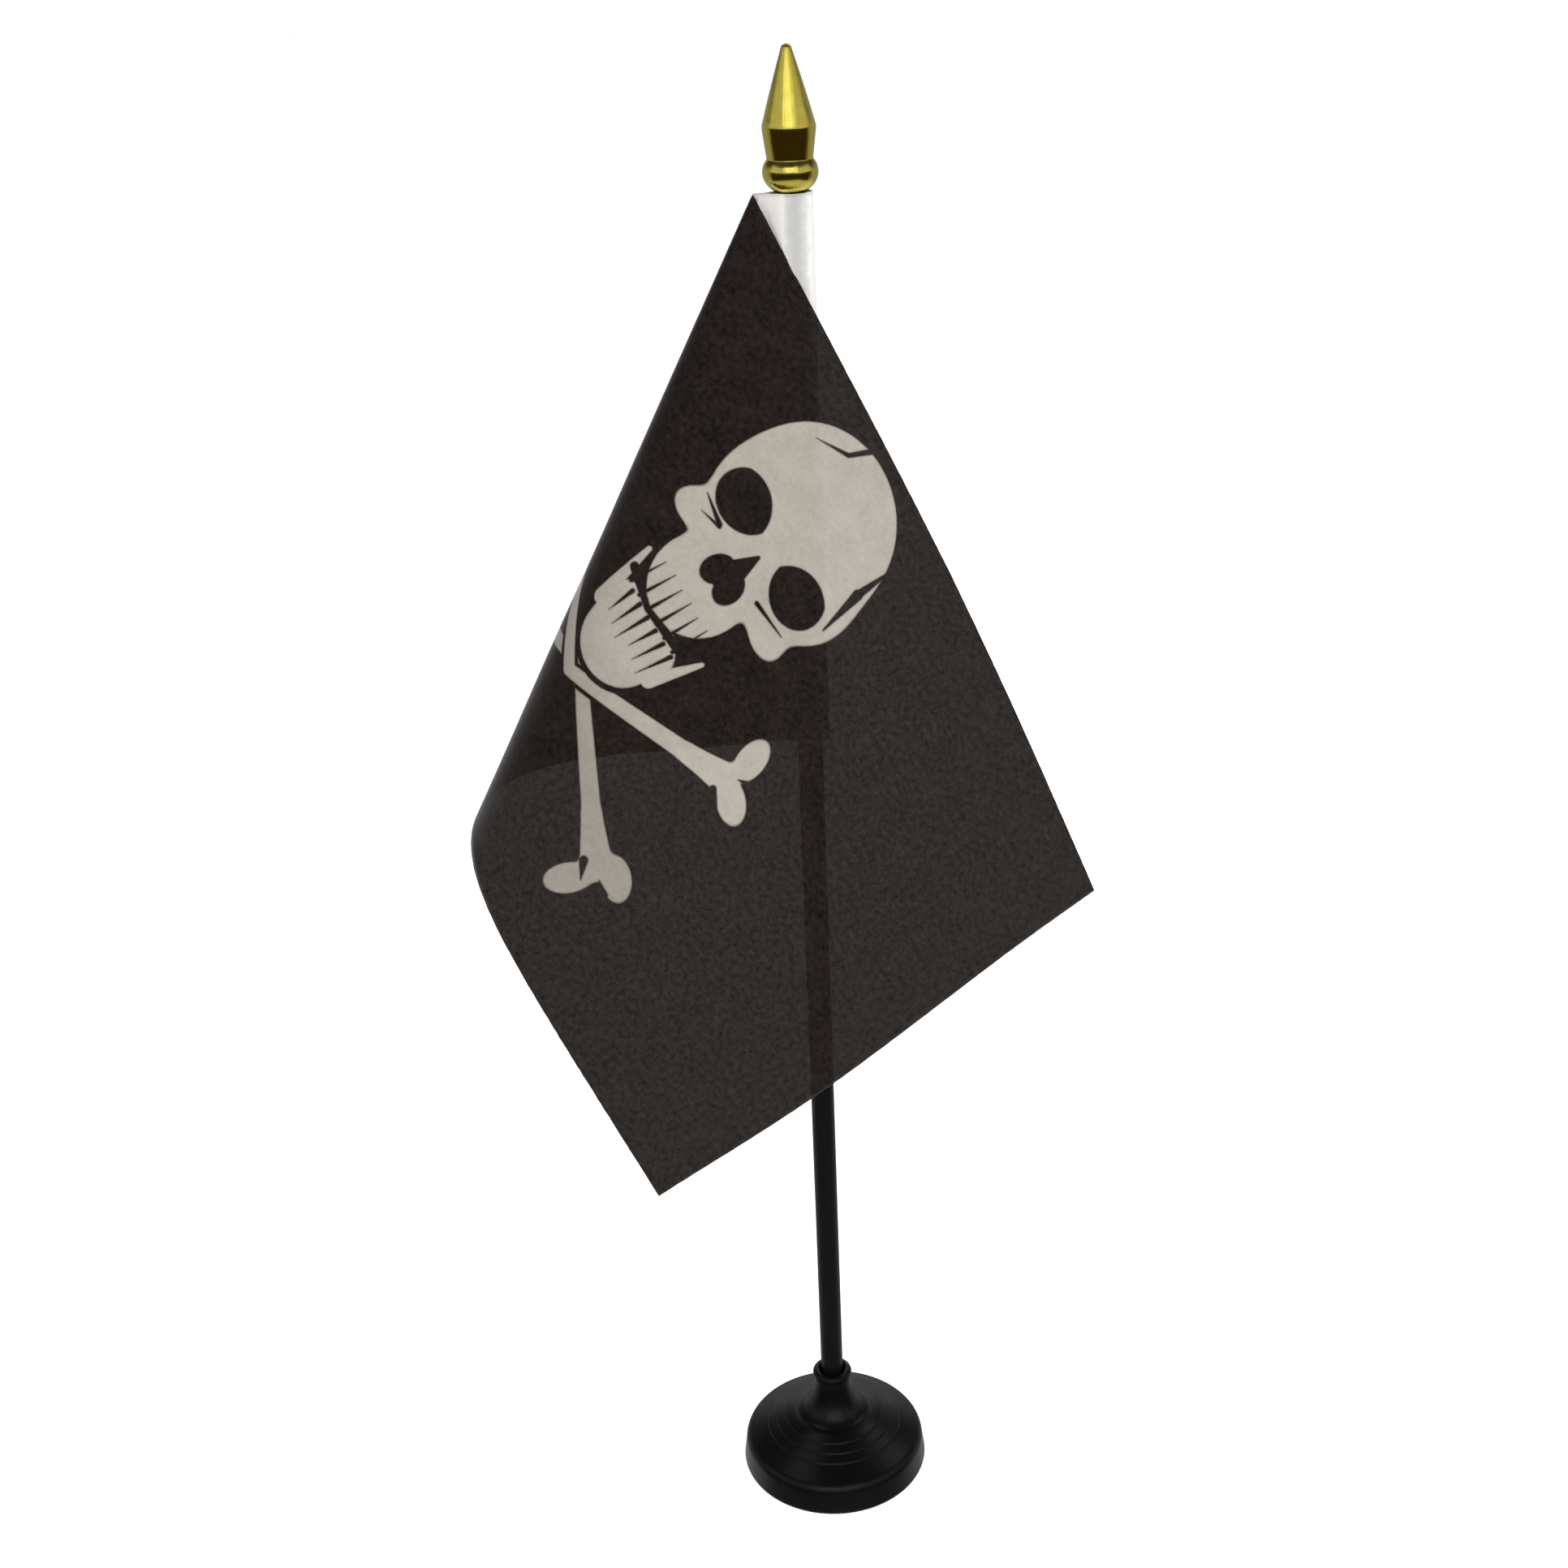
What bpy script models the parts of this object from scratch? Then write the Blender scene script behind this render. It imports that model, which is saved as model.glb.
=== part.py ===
"""Desk flag on a weighted plastic stand, modelled in metres with +Z up.

The origin lies on the pole's axis, in the plane that the stand rests on. A round base
holds a straight pole in its socket, a spear finial caps the pole, and a printed flag
hangs from a cloth sleeve that turns on the pole under the finial.
"""

import math

import bmesh
import bpy
from mathutils import Matrix, Vector

# Gap kept between two pieces that touch or slide on each other
CLEARANCE = 0.0003

# Base: a turned shell, open underneath, with a blind socket tube up its middle
BASE_RADIUS = 0.0298
BASE_HEIGHT = 0.0350
BASE_WALL = 0.0018
RIM_HEIGHT = 0.0080
RIM_FLARE = 0.0009
RIM_EDGE = 0.0004
RIM_LEDGE_RISE = 0.0003
SHOULDER_HEIGHT = 0.0112
SHOULDER_SETBACK = 0.0032
SHOULDER_ROUND = 0.0010
NECK_WALL = 0.0020
NECK_FOOT_RADIUS = 0.0128
NECK_FOOT_HEIGHT = 0.0186
RING_COUNT = 3
RING_STEP = 0.0005
RING_RISER = 0.00015
PLAIN_BAND_WIDTH = 0.0051
LIP_RADIUS = 0.00135
LIP_OVERHANG = 0.00045
SOCKET_FLOOR = 0.0060
SOCKET_FLOOR_THICKNESS = 0.0015
MOUTH_DEPTH = 0.0014

# Foam pad in the open underside, proud of the rim, and the steel ring above it
PAD_THICKNESS = 0.0020
PAD_PROUD = 0.0005
WEIGHT_THICKNESS = 0.0042

# Pole: a solid plastic rod
POLE_RADIUS = 0.0035
POLE_CHAMFER = 0.0005
POLE_STEPS = 24
FLAG_TOP = 0.4080

# Finial: a spear point over a tapered waist and a round bead, with a blind socket
FINIAL_HEIGHT = 0.0353
FINIAL_BELT_RADIUS = 0.00695
FINIAL_BELT_HEIGHT = 0.0155
FINIAL_BELT_ROUND = 0.0004
FINIAL_WAIST_RADIUS = 0.0059
FINIAL_BEAD_RADIUS = 0.00715
FINIAL_BEAD_RISE = 0.0057
FINIAL_FOOT_LAND = 0.0004
FINIAL_TIP_RADIUS = 0.0014
FINIAL_SOCKET_DEPTH = 0.0130

# Cloth: thickness of one layer, the printed panel, and the sleeve round the pole
CLOTH_THICKNESS = 0.0004
FLAG_LENGTH = 0.2130
FLAG_HEIGHT = 0.1500
HEM_WIDTH = 0.0030
SEAM_GAP = 0.0063
SEAM_RADIUS = POLE_RADIUS + SEAM_GAP
SEAM_BEARING = math.radians(188.6)
SLEEVE_SLACK = 0.0012
SLEEVE_LIP_WIDTH = 0.0032
THREAD_RADIUS = 0.0002
THREAD_INSET = 0.0010

# Fold: angles are measured in the flat cloth, from the hoist edge about the top hoist corner
FOLD_AT = math.radians(31.5)
FOLD_SPREAD = math.radians(13.0)
FOLD_TURN = math.radians(193.0)
BACK_BOW = 0.67
FRONT_BOW = -0.34
LAYER_TUCK = 0.0026
CORNER_RELIEF = 0.0020

# Facets of the cloth and of the turned pieces
RULINGS = 48
RULING_SEGMENTS = 5
ROUND_STEPS = 40
SLEEVE_SIDE_STEPS = 4
SLEEVE_BEND_STEPS = 12


def clear_scene():
    for scene_object in list(bpy.data.objects):
        bpy.data.objects.remove(scene_object, do_unlink=True)


def make_collection(name):
    collection = bpy.data.collections.new(name)
    bpy.context.scene.collection.children.link(collection)
    return collection


def make_material(name, colour, roughness, metallic=0.0):
    material = bpy.data.materials.new(name)
    material.use_nodes = True
    shader = material.node_tree.nodes["Principled BSDF"]
    shader.inputs["Base Color"].default_value = (*colour, 1.0)
    shader.inputs["Roughness"].default_value = roughness
    shader.inputs["Metallic"].default_value = metallic
    return material


def add_object(name, data, material):
    part = bpy.data.objects.new(name, data)
    data.materials.append(material)
    PARTS.objects.link(part)
    return part


def turned(name, profile, material, steps=ROUND_STEPS):
    """A solid of revolution about Z from (radius, height) points, outer side downwards."""
    mesh = bpy.data.meshes.new(name)
    points = [(radius, 0.0, height) for radius, height in profile]
    closed = profile[0][0] > 0.0
    edges = [(i, i + 1) for i in range(len(points) - 1)]
    if closed:
        edges.append((len(points) - 1, 0))
    mesh.from_pydata(points, edges, [])
    part = add_object(name, mesh, material)
    screw = part.modifiers.new("Turn", 'SCREW')
    screw.axis = 'Z'
    screw.steps = steps
    screw.render_steps = steps
    screw.use_merge_vertices = True
    screw.merge_threshold = 0.00001
    screw.use_smooth_shade = True
    return part


def arc(centre, radius, start, end, segments):
    """Points of a circular arc in the (radius, height) plane, angles in degrees."""
    points = []
    for i in range(segments + 1):
        angle = math.radians(start + (end - start) * i / segments)
        points.append((centre[0] + radius * math.cos(angle), centre[1] + radius * math.sin(angle)))
    return points


def socket_radius():
    """Radius of a socket that the pole slides into."""
    return POLE_RADIUS + CLEARANCE


def neck_sweep(top, segments):
    """The trumpet between the neck and the rings: a quarter ellipse, concave outwards."""
    width = NECK_FOOT_RADIUS - socket_radius() - NECK_WALL
    rise = top - NECK_FOOT_HEIGHT
    points = []
    for i in range(segments):
        angle = math.radians(90.0 * i / segments)
        points.append((NECK_FOOT_RADIUS - width * math.cos(angle), top - rise * math.sin(angle)))
    return points


def ring_steps(shoulder_radius):
    """Shallow concentric steps down the straight slope, then a plain band to the shoulder."""
    run = shoulder_radius - NECK_FOOT_RADIUS
    slope = (NECK_FOOT_HEIGHT - SHOULDER_HEIGHT) / run
    pitch = (run - PLAIN_BAND_WIDTH) / RING_COUNT
    points = [(NECK_FOOT_RADIUS, NECK_FOOT_HEIGHT)]
    for i in range(RING_COUNT):
        offset = pitch * (i + 1)
        radius = NECK_FOOT_RADIUS + offset
        middle = NECK_FOOT_HEIGHT - slope * offset
        points.append((radius, middle + 0.5 * RING_STEP))
        points.append((radius + RING_RISER, middle - 0.5 * RING_STEP))
    return points


def build_base():
    bore = socket_radius()
    socket_outer = bore + BASE_WALL
    lip_reach = bore + NECK_WALL + LIP_OVERHANG
    lip_centre = (lip_reach - LIP_RADIUS, BASE_HEIGHT - LIP_RADIUS)
    rim_top_radius = BASE_RADIUS - RIM_FLARE
    ledge_radius = rim_top_radius - RIM_EDGE
    shoulder_radius = BASE_RADIUS - SHOULDER_SETBACK
    shoulder_centre = (shoulder_radius - SHOULDER_ROUND, SHOULDER_HEIGHT - SHOULDER_ROUND)
    inner_rim = BASE_RADIUS - BASE_WALL - RIM_FLARE
    inner_rim_top = RIM_HEIGHT - 0.5 * BASE_WALL
    inner_shoulder = shoulder_radius - BASE_WALL
    ceiling = SHOULDER_HEIGHT - BASE_WALL
    inner_peak = NECK_FOOT_HEIGHT - BASE_WALL

    profile = [(0.0, SOCKET_FLOOR), (bore, SOCKET_FLOOR), (bore, BASE_HEIGHT - MOUTH_DEPTH)]
    profile += arc(lip_centre, LIP_RADIUS, 110.0, -45.0, 9)
    profile += neck_sweep(BASE_HEIGHT - 2.0 * LIP_RADIUS, 8)
    profile += ring_steps(shoulder_radius)
    profile += arc(shoulder_centre, SHOULDER_ROUND, 70.0, 45.0, 3)
    profile += [(ledge_radius, RIM_HEIGHT + RIM_LEDGE_RISE), (rim_top_radius, RIM_HEIGHT)]
    profile += [(BASE_RADIUS, PAD_PROUD + RIM_FLARE), (BASE_RADIUS - RIM_EDGE, PAD_PROUD)]
    profile += [(inner_rim, PAD_PROUD), (inner_rim, inner_rim_top), (inner_shoulder, ceiling)]
    profile += [(NECK_FOOT_RADIUS, inner_peak), (socket_outer, inner_peak)]
    profile += [(socket_outer, SOCKET_FLOOR - SOCKET_FLOOR_THICKNESS)]
    profile += [(0.0, SOCKET_FLOOR - SOCKET_FLOOR_THICKNESS)]
    shell = turned("base_shell", profile, BLACK_PLASTIC)

    pad_radius = inner_rim - CLEARANCE
    pad = turned("base_pad", [(0.0, PAD_THICKNESS), (pad_radius, PAD_THICKNESS),
                              (pad_radius, 0.0), (0.0, 0.0)], BLACK_FOAM)

    weight_bottom = PAD_THICKNESS + CLEARANCE
    weight_top = weight_bottom + WEIGHT_THICKNESS
    weight_hole = socket_outer + CLEARANCE
    weight_radius = inner_shoulder - CLEARANCE
    weight = turned("base_weight", [(weight_hole, weight_top), (weight_radius, weight_top),
                                    (weight_radius, weight_bottom), (weight_hole, weight_bottom)],
                    DULL_STEEL)
    return [shell, pad, weight]


def build_pole():
    bottom = SOCKET_FLOOR + CLEARANCE
    top = FLAG_TOP + FINIAL_SOCKET_DEPTH
    shoulder = POLE_RADIUS - POLE_CHAMFER
    profile = [(0.0, top), (shoulder, top), (POLE_RADIUS, top - POLE_CHAMFER)]
    profile += [(POLE_RADIUS, bottom + POLE_CHAMFER), (shoulder, bottom), (0.0, bottom)]
    return turned("pole", profile, BLACK_PLASTIC, steps=POLE_STEPS)


def bead_offset(radius):
    """Height from the bead's widest line to where the bead, a flattened ball, has a radius."""
    return FINIAL_BEAD_RISE * math.sqrt(1.0 - (radius / FINIAL_BEAD_RADIUS) ** 2)


def bead_radius(offset):
    return FINIAL_BEAD_RADIUS * math.sqrt(1.0 - (offset / FINIAL_BEAD_RISE) ** 2)


def build_finial():
    foot = FLAG_TOP + CLEARANCE
    bore = socket_radius()
    tip_centre = (0.0, FINIAL_HEIGHT - FINIAL_TIP_RADIUS)
    half_angle = math.degrees(math.atan2(FINIAL_BELT_RADIUS, FINIAL_HEIGHT - FINIAL_BELT_HEIGHT))
    belt = FINIAL_BELT_RADIUS - 0.25 * FINIAL_BELT_ROUND
    below_middle = bead_offset(bore + FINIAL_FOOT_LAND)
    above_middle = bead_offset(FINIAL_WAIST_RADIUS)

    outline = arc(tip_centre, FINIAL_TIP_RADIUS, 90.0, half_angle, 4)
    outline[0] = (0.0, FINIAL_HEIGHT)
    outline += [(belt, FINIAL_BELT_HEIGHT + FINIAL_BELT_ROUND)]
    outline += [(belt, FINIAL_BELT_HEIGHT - FINIAL_BELT_ROUND)]
    bead_points = 10
    for i in range(bead_points + 1):
        offset = above_middle - (above_middle + below_middle) * i / bead_points
        outline.append((bead_radius(offset), below_middle + offset))
    profile = [(radius, foot + height) for radius, height in outline]
    profile += [(bore, foot), (bore, foot + FINIAL_SOCKET_DEPTH)]
    profile += [(0.0, foot + FINIAL_SOCKET_DEPTH)]
    return turned("finial", profile, GOLD)


def lip_offset():
    """Distance from the seam's mid-plane to the middle of each sleeve layer."""
    return CLOTH_THICKNESS + CLEARANCE


def sleeve_path():
    """The sleeve's middle line in plan, from its front lip round the pole to its back lip.

    From the lips it runs straight to the pole, follows the pole's side, and hangs loose
    on the far side by the slack.
    """
    half_width = socket_radius() + 0.5 * CLOTH_THICKNESS
    reach = half_width + SLEEVE_SLACK
    lip = lip_offset()
    neck = SEAM_RADIUS - SLEEVE_LIP_WIDTH
    touch = math.pi - math.atan2(lip, neck) - math.acos(half_width / math.hypot(neck, lip))
    back = [(-SEAM_RADIUS, lip), (-neck, lip)]
    for i in range(SLEEVE_SIDE_STEPS):
        angle = touch + (0.5 * math.pi - touch) * i / SLEEVE_SIDE_STEPS
        back.append((half_width * math.cos(angle), half_width * math.sin(angle)))
    front = [(x, -y) for x, y in back]
    rounded = []
    for i in range(SLEEVE_BEND_STEPS + 1):
        angle = math.pi * (i / SLEEVE_BEND_STEPS - 0.5)
        rounded.append((reach * math.cos(angle), half_width * math.sin(angle)))
    return front + rounded + back[::-1]


def on_seam_bearing(part):
    """Turn a piece whose seam lies along -X onto the seam's real bearing."""
    part.rotation_euler = (0.0, 0.0, SEAM_BEARING - math.pi)
    return part


def wall_from_path(name, path, material):
    """A cloth wall: a plan line raised to the flag's height, then thickened."""
    mesh = bpy.data.meshes.new(name)
    shape = bmesh.new()
    low = [shape.verts.new((x, y, FLAG_TOP - FLAG_HEIGHT)) for x, y in path]
    high = [shape.verts.new((x, y, FLAG_TOP)) for x, y in path]
    for i in range(len(path) - 1):
        shape.faces.new((low[i], low[i + 1], high[i + 1], high[i]))
    shape.to_mesh(mesh)
    shape.free()
    part = add_object(name, mesh, material)
    add_thickness(part)
    return part


def add_thickness(part):
    solidify = part.modifiers.new("Cloth", 'SOLIDIFY')
    solidify.thickness = CLOTH_THICKNESS
    solidify.offset = 0.0
    solidify.use_even_offset = True
    solidify.use_rim = True


def turn_rate(angle):
    """How fast the cloth's heading turns at an angle from the hoist, in radians per radian."""
    bow = BACK_BOW if angle < FOLD_AT else FRONT_BOW
    peak = FOLD_TURN / (FOLD_SPREAD * math.sqrt(math.pi))
    return bow - peak * math.exp(-((angle - FOLD_AT) / FOLD_SPREAD) ** 2)


def ruling_directions(angles):
    """Directions of the cloth's straight lines for angles from the hoist edge.

    The cloth hangs as a cone from its top hoist corner, so it isn't stretched anywhere:
    equal angles in the flat cloth are equal arcs on the unit sphere of directions.
    """
    fine_steps = 12
    direction = Vector((0.0, 0.0, -1.0))
    heading = Vector((math.cos(SEAM_BEARING), math.sin(SEAM_BEARING), 0.0))
    found = [direction.copy()]
    for start, end in zip(angles, angles[1:]):
        step = (end - start) / fine_steps
        for i in range(fine_steps):
            turn = turn_rate(start + (i + 0.5) * step) * step
            heading.rotate(Matrix.Rotation(turn, 3, direction))
            swing = Matrix.Rotation(step, 3, direction.cross(heading))
            direction.rotate(swing)
            heading.rotate(swing)
        found.append(direction.copy())
    return found


def cloth_angles():
    """Angles of the rulings, with one exactly at the lower fly corner."""
    corner = math.atan2(FLAG_LENGTH, FLAG_HEIGHT)
    below = round(RULINGS * corner / (0.5 * math.pi))
    above = RULINGS - below
    angles = [corner * i / below for i in range(below)]
    angles += [corner + (0.5 * math.pi - corner) * i / above for i in range(above + 1)]
    return angles


def ruling_length(angle):
    """Length of a ruling from the top hoist corner to the cloth's far edge."""
    reach_down = FLAG_HEIGHT / max(math.cos(angle), 1e-9)
    reach_out = FLAG_LENGTH / max(math.sin(angle), 1e-9)
    return min(reach_down, reach_out)


def build_panel():
    """The printed cloth: a hem held in the sleeve, then the cone that falls from it.

    The front layer's apex stands forward of the seam, so that layer passes over the sleeve.
    """
    angles = cloth_angles()
    directions = ruling_directions(angles)
    layer_step = socket_radius() + CLOTH_THICKNESS - LAYER_TUCK
    outwards = Vector((math.cos(SEAM_BEARING), math.sin(SEAM_BEARING), 0.0))
    corner = SEAM_RADIUS * outwards + Vector((0.0, 0.0, FLAG_TOP))
    mesh = bpy.data.meshes.new("flag_panel")
    shape = bmesh.new()

    columns = []
    for angle, direction in zip(angles, directions):
        share = min(1.0, angle / (2.0 * FOLD_AT))
        forward = layer_step * share * share * (3.0 - 2.0 * share)
        apex = corner + Vector((0.0, -forward, 0.0))
        length = ruling_length(angle)
        column = []
        for i in range(RULING_SEGMENTS + 1):
            distance = CORNER_RELIEF + (length - CORNER_RELIEF) * i / RULING_SEGMENTS
            column.append(shape.verts.new(apex + distance * direction))
        columns.append(column)

    hem = [shape.verts.new(vertex.co - HEM_WIDTH * outwards) for vertex in columns[0]]
    columns.insert(0, hem)
    for left, right in zip(columns, columns[1:]):
        for i in range(RULING_SEGMENTS):
            shape.faces.new((left[i], right[i], right[i + 1], left[i + 1]))
    shape.to_mesh(mesh)
    shape.free()
    panel = add_object("flag_panel", mesh, BLACK_CLOTH)
    add_thickness(panel)
    return panel


def build_thread(name, side):
    """One thread of the lockstitch seam, lying on the sleeve's front (-1) or back (+1) lip."""
    reach = lip_offset() + 0.5 * CLOTH_THICKNESS + CLEARANCE + THREAD_RADIUS
    x = -SEAM_RADIUS + THREAD_INSET
    curve = bpy.data.curves.new(name, 'CURVE')
    curve.dimensions = '3D'
    curve.bevel_depth = THREAD_RADIUS
    curve.bevel_resolution = 2
    curve.use_fill_caps = True
    spline = curve.splines.new('POLY')
    spline.points.add(1)
    spline.points[0].co = (x, side * reach, FLAG_TOP - FLAG_HEIGHT + THREAD_INSET, 1.0)
    spline.points[1].co = (x, side * reach, FLAG_TOP - THREAD_INSET, 1.0)
    return on_seam_bearing(add_object(name, curve, WHITE_THREAD))


def add_axis(name, location):
    """An empty that marks a joint, for the pieces that move together."""
    axis = bpy.data.objects.new(name, None)
    axis.empty_display_size = 0.01
    axis.location = location
    PARTS.objects.link(axis)
    return axis


def hang_on(axis, pieces):
    for piece in pieces:
        piece.parent = axis
        piece.matrix_parent_inverse = Matrix.Translation(axis.location).inverted()


clear_scene()
PARTS = make_collection("desk_flag_stand")
BLACK_PLASTIC = make_material("black_plastic", (0.012, 0.012, 0.011), 0.38)
BLACK_FOAM = make_material("black_foam", (0.010, 0.010, 0.010), 0.95)
DULL_STEEL = make_material("dull_steel", (0.32, 0.31, 0.30), 0.55, 1.0)
GOLD = make_material("gold_plating", (0.80, 0.60, 0.10), 0.18, 1.0)
WHITE_CLOTH = make_material("white_cloth", (0.78, 0.79, 0.82), 0.85)
BLACK_CLOTH = make_material("black_cloth", (0.028, 0.025, 0.022), 0.85)
WHITE_THREAD = make_material("white_thread", (0.70, 0.70, 0.70), 0.8)

build_base()
pole = build_pole()
finial = build_finial()
sleeve = on_seam_bearing(wall_from_path("hoist_sleeve", sleeve_path(), WHITE_CLOTH))
threads = [build_thread("needle_thread", -1.0), build_thread("bobbin_thread", 1.0)]
cloth = build_panel()

pole_axis = add_axis("pole_axis", (0.0, 0.0, SOCKET_FLOOR + CLEARANCE))
finial_axis = add_axis("finial_axis", (0.0, 0.0, FLAG_TOP + CLEARANCE))
flag_axis = add_axis("flag_axis", (0.0, 0.0, FLAG_TOP))
hang_on(pole_axis, [pole])
hang_on(finial_axis, [finial])
hang_on(flag_axis, [sleeve, cloth, *threads])
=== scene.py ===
"""A desk flag: a printed cloth flag on a black plastic pole, in a round weighted base."""

import math

import bmesh
import bpy
from mathutils import Matrix, Vector, noise


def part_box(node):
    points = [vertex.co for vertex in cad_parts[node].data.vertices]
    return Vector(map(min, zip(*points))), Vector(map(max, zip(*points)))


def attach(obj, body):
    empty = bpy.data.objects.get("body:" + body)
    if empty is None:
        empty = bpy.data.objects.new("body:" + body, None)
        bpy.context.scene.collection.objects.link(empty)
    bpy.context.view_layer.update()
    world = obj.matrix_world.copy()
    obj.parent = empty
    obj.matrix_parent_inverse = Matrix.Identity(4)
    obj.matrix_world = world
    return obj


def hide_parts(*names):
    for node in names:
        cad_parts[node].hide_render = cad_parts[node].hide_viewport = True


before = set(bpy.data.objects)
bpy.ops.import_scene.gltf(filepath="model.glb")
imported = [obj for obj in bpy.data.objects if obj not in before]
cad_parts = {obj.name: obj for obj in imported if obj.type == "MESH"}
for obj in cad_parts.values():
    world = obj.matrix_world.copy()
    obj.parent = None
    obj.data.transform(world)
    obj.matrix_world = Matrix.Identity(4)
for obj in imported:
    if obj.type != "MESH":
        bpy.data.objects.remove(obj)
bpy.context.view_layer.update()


# ---------------------------------------------------------------------------------------
# Camera: stands half a metre in front of the flag, a little above the finial's tip, looking
# down at the cloth, and held with a slight tilt.

CAMERA_PLACE = (-0.0079, -0.5490, 0.4901)
CAMERA_PITCH = math.radians(24.17)
CAMERA_TILT = math.radians(-2.34)

camera_data = bpy.data.cameras.new("camera")
camera_data.sensor_width = 36.0
camera_data.lens = 48.45
camera = bpy.data.objects.new("camera", camera_data)
bpy.context.scene.collection.objects.link(camera)
camera.matrix_world = (Matrix.Translation(CAMERA_PLACE)
                       @ Matrix.Rotation(0.5 * math.pi - CAMERA_PITCH, 4, 'X')
                       @ Matrix.Rotation(CAMERA_TILT, 4, 'Z'))
bpy.context.scene.camera = camera


# ---------------------------------------------------------------------------------------
# Studio: a wide white table, in a room that is plain white to the camera and dim to all else.
# Soft boxes stand over the camera, at both sides and behind. Neither they nor the table show
# in reflections: glossy surfaces pick up the room's own window and lamps.

def link(name, data):
    made = bpy.data.objects.new(name, data)
    bpy.context.scene.collection.objects.link(made)
    return made


def flat_card(name, width, height):
    """A rectangle in the XY plane, facing +Z."""
    mesh = bpy.data.meshes.new(name)
    shape = bmesh.new()
    bmesh.ops.create_grid(shape, x_segments=1, y_segments=1, size=0.5)
    bmesh.ops.scale(shape, vec=(width, height, 1.0), verts=shape.verts)
    shape.to_mesh(mesh)
    shape.free()
    return link(name, mesh)


AIM_POINT = (0.0, 0.0, 0.25)


def soft_box(name, place, width, height, watts):
    """A lamp with a rectangular face, turned towards the object."""
    lamp = bpy.data.lights.new(name, 'AREA')
    lamp.shape = 'RECTANGLE'
    lamp.size = width
    lamp.size_y = height
    lamp.energy = watts
    box = link(name, lamp)
    toward = (Vector(AIM_POINT) - Vector(place)).normalized()
    box.matrix_world = Matrix.Translation(place) @ toward.to_track_quat('-Z', 'Y').to_matrix().to_4x4()
    box.visible_camera = False
    box.visible_glossy = False


class Value:
    """What a node gives out. Where that is a number, arithmetic on it adds Math nodes."""

    def __init__(self, shading, socket):
        self.shading = shading
        self.socket = socket

    def math(self, operation, *others):
        inputs = dict(enumerate((self, *others)))
        return self.shading.add("ShaderNodeMath", {"operation": operation}, inputs)

    def __add__(self, other):
        return self.math('ADD', other)

    __radd__ = __add__

    def __sub__(self, other):
        return self.math('SUBTRACT', other)

    def __rsub__(self, other):
        return (self * -1.0) + other

    def __mul__(self, other):
        return self.math('MULTIPLY', other)

    __rmul__ = __mul__

    def lowest(self, other):
        return self.math('MINIMUM', other)

    def highest(self, other):
        return self.math('MAXIMUM', other)

    def clamped(self):
        return self.highest(0.0).lowest(1.0)


class Shading:
    """A node tree being made: add() puts in a node, and feed() sets or links a socket."""

    def __init__(self, tree):
        self.tree = tree

    def add(self, kind, settings=None, inputs=None, output=0):
        node = self.tree.nodes.new(kind)
        for name, value in (settings or {}).items():
            if name == "stops":
                self.set_stops(node.color_ramp, value)
            else:
                setattr(node, name, value)
        for socket, value in (inputs or {}).items():
            self.feed(node.inputs[socket], value)
        return Value(self, node.outputs[output])

    def set_stops(self, ramp, stops):
        while len(ramp.elements) < len(stops):
            ramp.elements.new(0.5)
        for element, (position, colour) in zip(ramp.elements, stops):
            element.position = position
            element.color = (*colour, 1.0)

    def feed(self, socket, value):
        if isinstance(value, Value):
            self.tree.links.new(value.socket, socket)
        else:
            socket.default_value = value

    def blend(self, share, first, second):
        """A colour between two colours, for a share from 0 to 1."""
        return self.add("ShaderNodeMix", {"data_type": 'RGBA'}, {"Factor": share, 6: first, 7: second}, 2)


WINDOW_LIGHT = (1.5, 1.5, 1.5, 1.0)
LAMP_LIGHT = (1.7, 1.65, 1.6, 1.0)
CEILING_LAMPS = ((-0.345, -0.02, 0.94), (0.58, 0.27, 0.77))


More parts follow.
